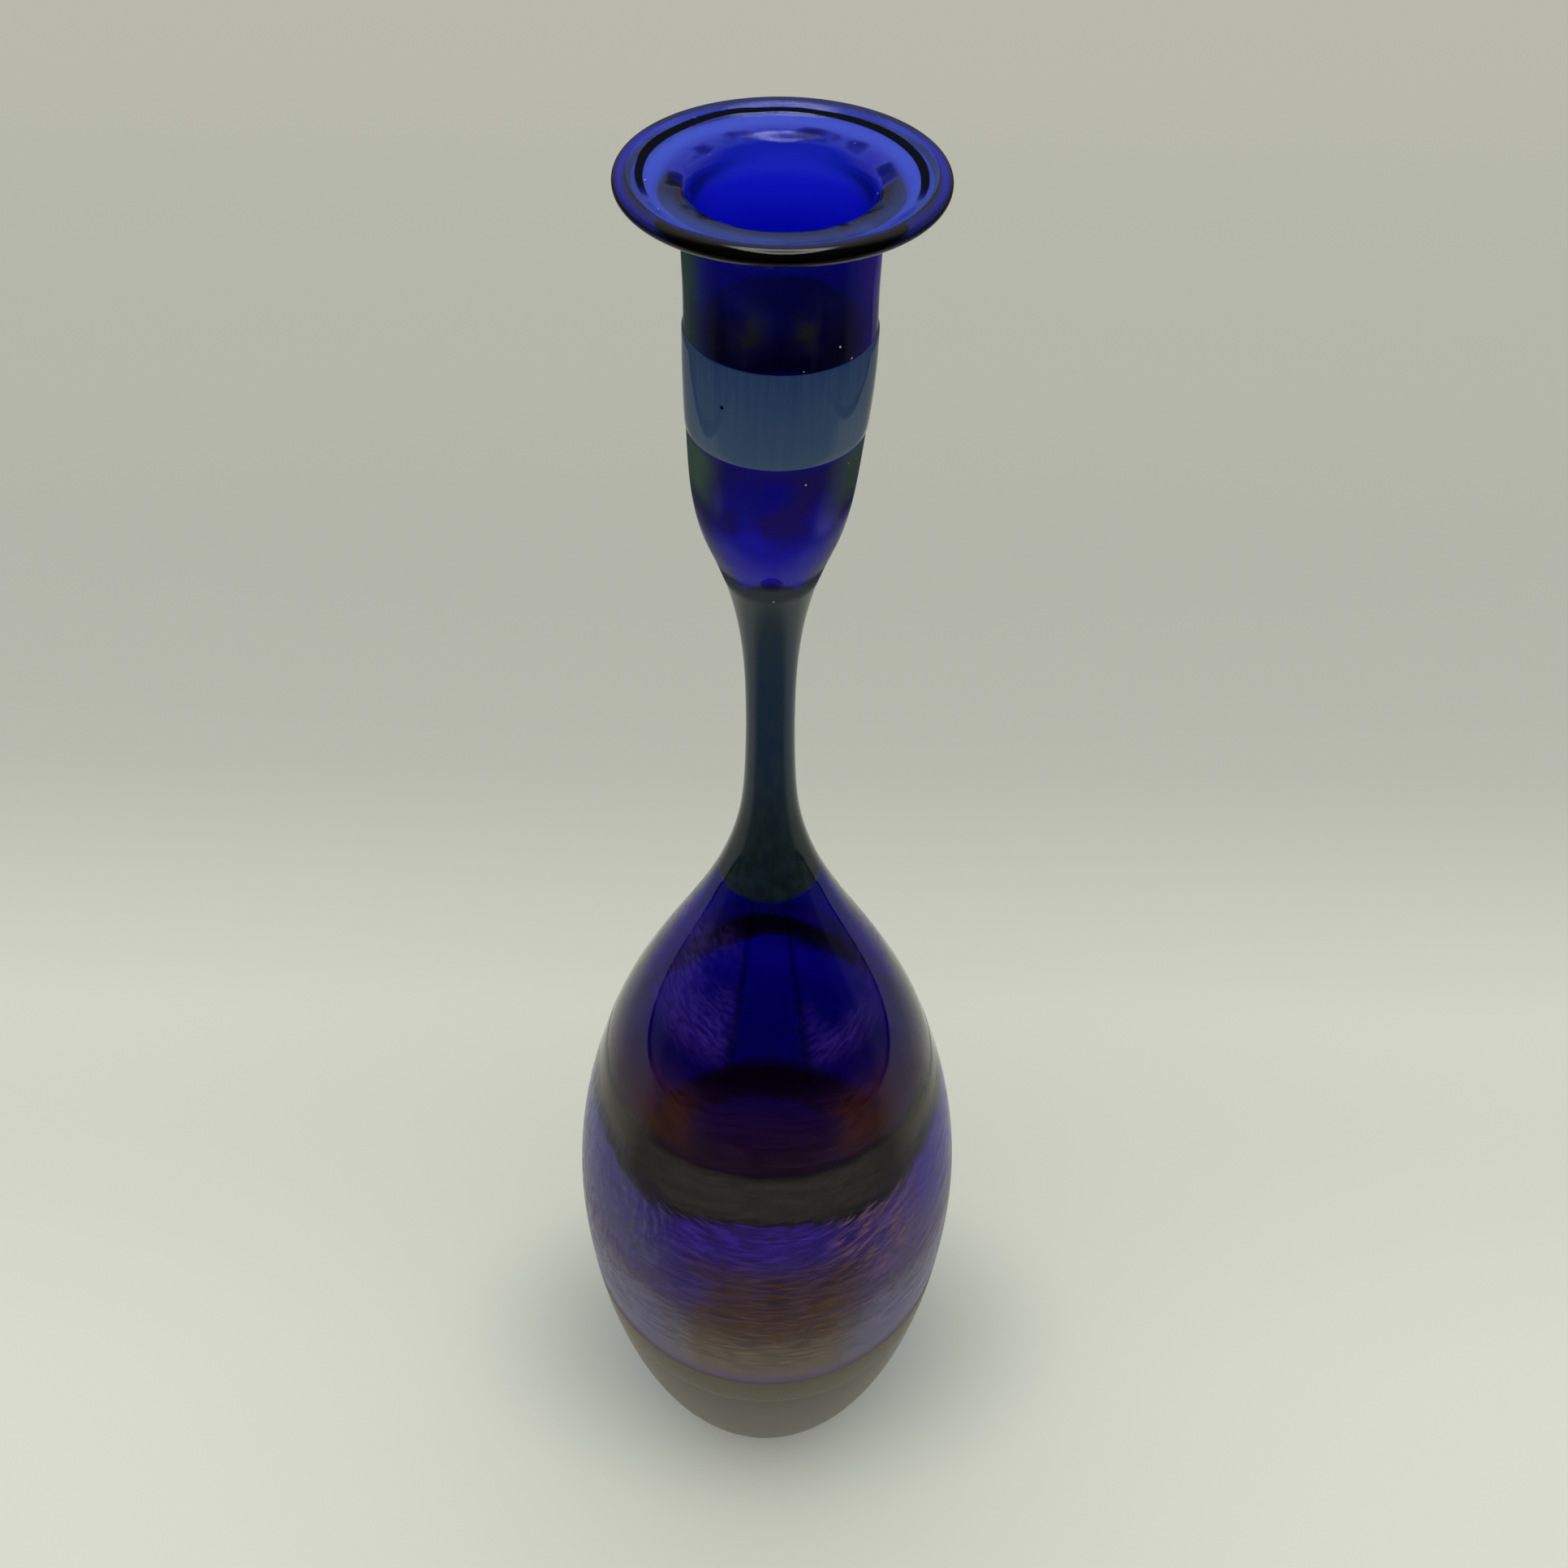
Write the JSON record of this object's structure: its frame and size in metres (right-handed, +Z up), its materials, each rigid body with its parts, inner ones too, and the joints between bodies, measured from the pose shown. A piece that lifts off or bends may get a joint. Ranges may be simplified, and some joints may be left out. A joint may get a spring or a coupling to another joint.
{
  "type": "glass bottle vase",
  "caption": "Tall bottle vase in cobalt glass with an ovoid bulb, thin drawn neck, cylindrical cup, flat rim with a rounded lip, and coloured stripes.",
  "frame": {"origin": "centre of the foot, on the surface that the vase stands on", "axes": "+Z up along the vase's axis, from the foot to the mouth; the shape is round, so +X and +Y are any two directions across it"},
  "size_m": [0.0878, 0.0878, 0.36],
  "materials": {
    "cobalt_glass": "transparent hand-blown cobalt glass, fire polished",
    "steel_blue_glass": "opaque steel-blue glass with soft streaks, glossy",
    "grey_green_glass": "dark grey-green glass, nearly opaque, glossy",
    "dark_olive_glass": "dark olive glass with brushed edges, translucent",
    "olive_grey_glass": "olive-grey glass with brushed edges, translucent"
  },
  "bodies": {
    "root": {"base": "cobalt_glass", "bulb": "cobalt_glass", "shoulder": "cobalt_glass", "neck_stem": "cobalt_glass", "cup": "cobalt_glass", "rim_flange": "cobalt_glass", "lip_bead": "cobalt_glass", "cup_band": "steel_blue_glass", "neck_sleeve": "grey_green_glass", "belly_band": "dark_olive_glass", "foot_band": "olive_grey_glass"}
  },
  "joints": []
}
